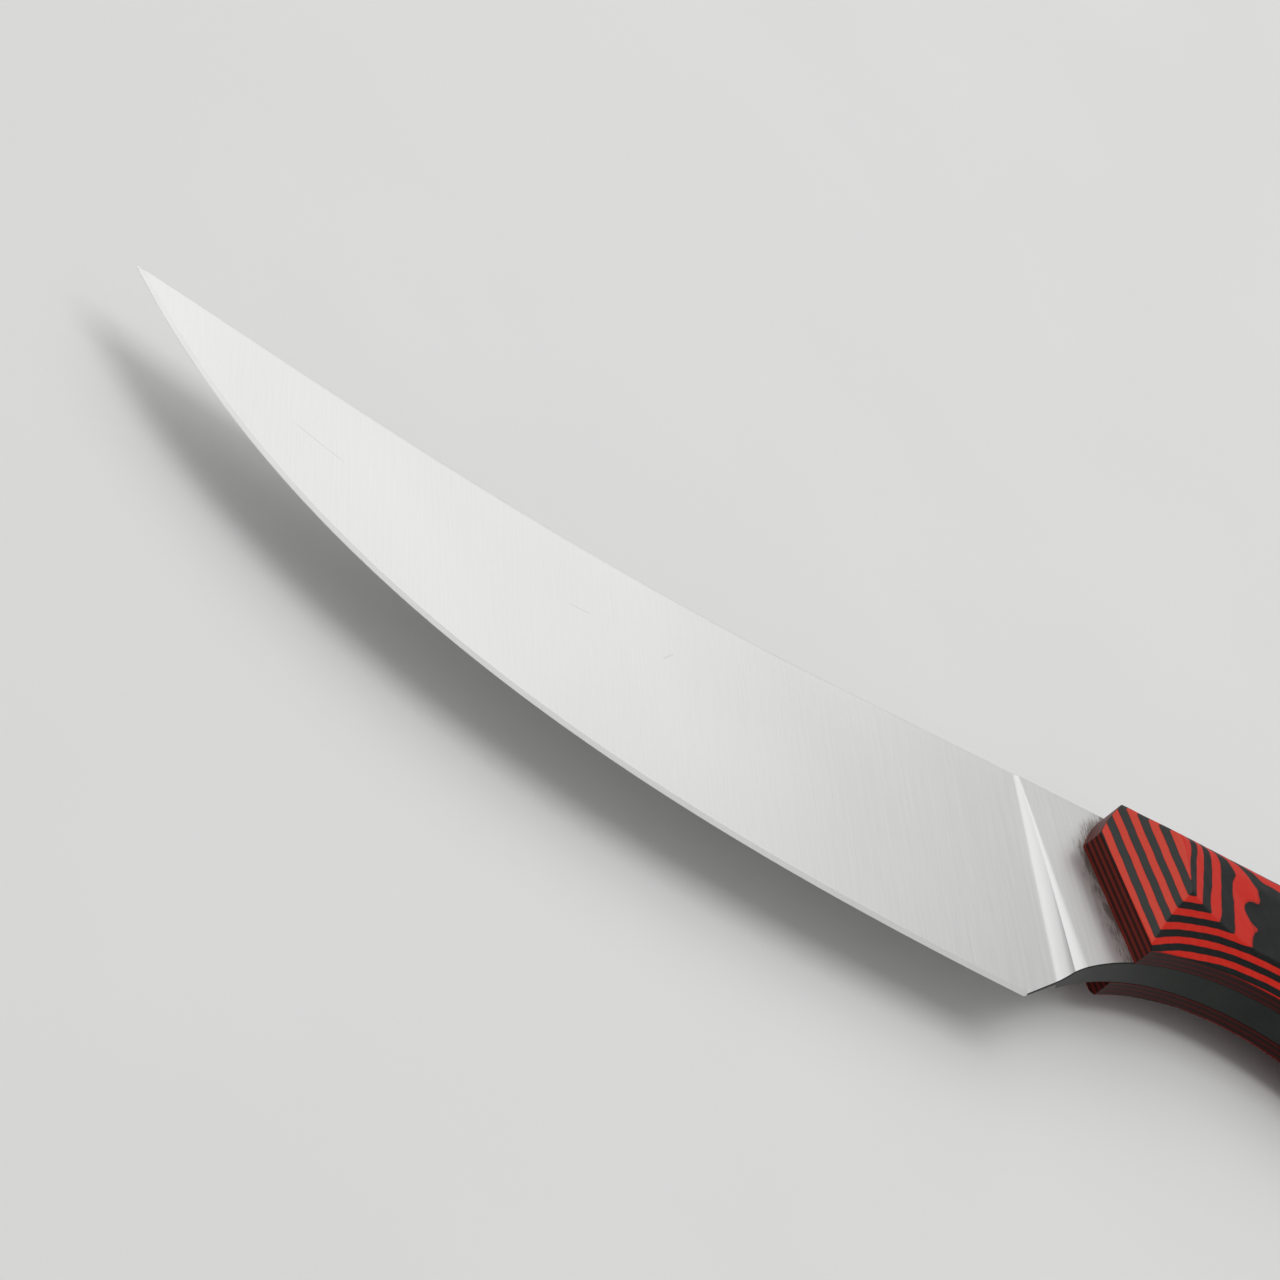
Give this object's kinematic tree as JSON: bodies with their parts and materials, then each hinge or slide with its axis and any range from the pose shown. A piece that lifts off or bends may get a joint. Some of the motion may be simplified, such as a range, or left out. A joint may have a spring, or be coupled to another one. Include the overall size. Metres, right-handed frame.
{
  "type": "kitchen knife",
  "caption": "Kitchen knife with an upswept satin blade, a full tang and faceted handle scales of bonded red and black sheets.",
  "frame": {"origin": "middle of the knife's box, on its lowest plane, with the knife lying on its right side", "axes": "+X from the tip to the butt, +Y from the cutting edge to the spine, +Z out of the knife's left face"},
  "size_m": [0.2786, 0.0562, 0.02],
  "materials": {
    "blade_steel": "cross-ground satin",
    "red_sheet": "sanded laminate",
    "black_sheet": "sanded laminate",
    "pin_steel": "sanded flush"
  },
  "bodies": {
    "root": {"blade": "blade_steel", "left_ply_01_red": "red_sheet", "left_ply_02_black": "black_sheet", "left_ply_03_red": "red_sheet", "left_ply_04_black": "black_sheet", "left_ply_05_red": "red_sheet", "left_ply_06_black": "black_sheet", "left_ply_07_red": "red_sheet", "left_ply_08_black": "black_sheet", "left_ply_09_red": "red_sheet", "left_ply_10_black": "black_sheet", "left_ply_11_red": "red_sheet", "left_ply_12_black": "black_sheet", "left_ply_13_red": "red_sheet", "left_ply_14_black": "black_sheet", "left_ply_15_red": "red_sheet", "left_ply_16_black": "black_sheet", "left_ply_17_red": "red_sheet", "right_ply_01_red": "red_sheet", "right_ply_02_black": "black_sheet", "right_ply_03_red": "red_sheet", "right_ply_04_black": "black_sheet", "right_ply_05_red": "red_sheet", "right_ply_06_black": "black_sheet", "right_ply_07_red": "red_sheet", "right_ply_08_black": "black_sheet", "right_ply_09_red": "red_sheet", "right_ply_10_black": "black_sheet", "right_ply_11_red": "red_sheet", "right_ply_12_black": "black_sheet", "right_ply_13_red": "red_sheet", "right_ply_14_black": "black_sheet", "right_ply_15_red": "red_sheet", "right_ply_16_black": "black_sheet", "right_ply_17_red": "red_sheet", "front_pin": "pin_steel", "rear_pin": "pin_steel"}
  },
  "joints": []
}
